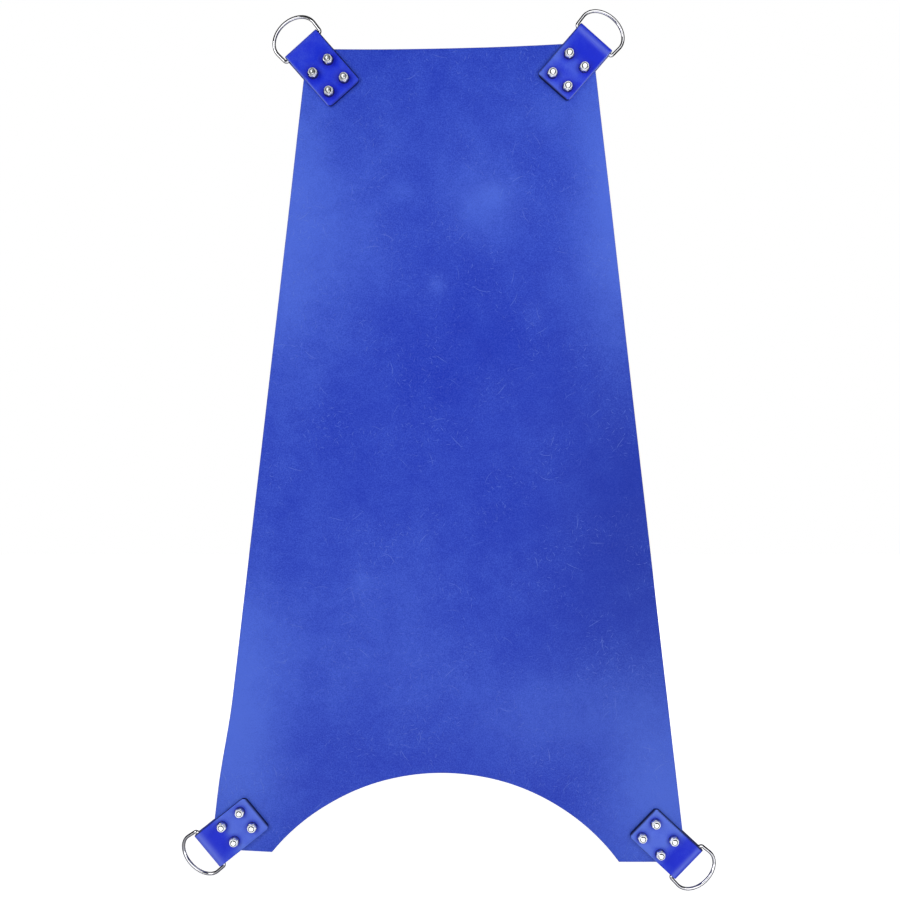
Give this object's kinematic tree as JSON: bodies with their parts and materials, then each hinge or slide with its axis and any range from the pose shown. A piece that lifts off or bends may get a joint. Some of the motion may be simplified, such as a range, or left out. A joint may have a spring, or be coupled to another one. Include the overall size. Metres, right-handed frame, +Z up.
{
  "type": "hanging leather panel",
  "caption": "Tapered hanging panel of thick blue leather with an arched lower edge; every corner has a folded strap bolted through it that holds a swinging D-ring.",
  "frame": {"origin": "on the panel's centre line, in the middle of its thickness, level with the place where the two upper rings hang from their hooks", "axes": "+X across the panel to the viewer's right when the nuts face the viewer, +Y from the front with the nuts to the back, +Z up along the panel from its wide arched end to its narrow end"},
  "size_m": [0.6421, 0.0207, 1.0388],
  "materials": {
    "panel_leather": "matte, faintly mottled, with fine light scratches",
    "strap_leather": "smooth satin",
    "polished_chrome": "mirror polished",
    "bright_zinc": "bright zinc plate",
    "clear_nylon": "milky"
  },
  "bodies": {
    "panel": {"leather_panel": "panel_leather", "strap_top_left": "strap_leather", "screw_top_left_1": "bright_zinc", "lock_nut_top_left_1": "bright_zinc", "nylon_ring_top_left_1": "clear_nylon", "screw_top_left_2": "bright_zinc", "lock_nut_top_left_2": "bright_zinc", "nylon_ring_top_left_2": "clear_nylon", "screw_top_left_3": "bright_zinc", "lock_nut_top_left_3": "bright_zinc", "nylon_ring_top_left_3": "clear_nylon", "screw_top_left_4": "bright_zinc", "lock_nut_top_left_4": "bright_zinc", "nylon_ring_top_left_4": "clear_nylon", "strap_top_right": "strap_leather", "screw_top_right_1": "bright_zinc", "lock_nut_top_right_1": "bright_zinc", "nylon_ring_top_right_1": "clear_nylon", "screw_top_right_2": "bright_zinc", "lock_nut_top_right_2": "bright_zinc", "nylon_ring_top_right_2": "clear_nylon", "screw_top_right_3": "bright_zinc", "lock_nut_top_right_3": "bright_zinc", "nylon_ring_top_right_3": "clear_nylon", "screw_top_right_4": "bright_zinc", "lock_nut_top_right_4": "bright_zinc", "nylon_ring_top_right_4": "clear_nylon", "strap_bottom_left": "strap_leather", "screw_bottom_left_1": "bright_zinc", "lock_nut_bottom_left_1": "bright_zinc", "nylon_ring_bottom_left_1": "clear_nylon", "screw_bottom_left_2": "bright_zinc", "lock_nut_bottom_left_2": "bright_zinc", "nylon_ring_bottom_left_2": "clear_nylon", "screw_bottom_left_3": "bright_zinc", "lock_nut_bottom_left_3": "bright_zinc", "nylon_ring_bottom_left_3": "clear_nylon", "screw_bottom_left_4": "bright_zinc", "lock_nut_bottom_left_4": "bright_zinc", "nylon_ring_bottom_left_4": "clear_nylon", "strap_bottom_right": "strap_leather", "screw_bottom_right_1": "bright_zinc", "lock_nut_bottom_right_1": "bright_zinc", "nylon_ring_bottom_right_1": "clear_nylon", "screw_bottom_right_2": "bright_zinc", "lock_nut_bottom_right_2": "bright_zinc", "nylon_ring_bottom_right_2": "clear_nylon", "screw_bottom_right_3": "bright_zinc", "lock_nut_bottom_right_3": "bright_zinc", "nylon_ring_bottom_right_3": "clear_nylon", "screw_bottom_right_4": "bright_zinc", "lock_nut_bottom_right_4": "bright_zinc", "nylon_ring_bottom_right_4": "clear_nylon"},
    "ring_top_left": {"d_ring_top_left": "polished_chrome"},
    "ring_top_right": {"d_ring_top_right": "polished_chrome"},
    "ring_bottom_left": {"d_ring_bottom_left": "polished_chrome"},
    "ring_bottom_right": {"d_ring_bottom_right": "polished_chrome"}
  },
  "joints": [
    {"name": "top_left_ring_hinge", "type": "hinge", "parent": "panel", "child": "ring_top_left", "pos_m": [-0.16915, 0, -0.02831], "axis": [-0.749, 0, -0.6626], "range_deg": [-150, 158]},
    {"name": "top_right_ring_hinge", "type": "hinge", "parent": "panel", "child": "ring_top_right", "pos_m": [0.16598, 0, -0.02123], "axis": [-0.7536, 0, 0.6574], "range_deg": [-152, 156]},
    {"name": "bottom_left_ring_hinge", "type": "hinge", "parent": "panel", "child": "ring_bottom_left", "pos_m": [-0.28683, 0, -0.97165], "axis": [0.6266, 0, -0.7793], "range_deg": [-159, 149]},
    {"name": "bottom_right_ring_hinge", "type": "hinge", "parent": "panel", "child": "ring_bottom_right", "pos_m": [0.2828, 0, -0.98764], "axis": [0.6845, 0, 0.729], "range_deg": [-150, 158]}
  ]
}
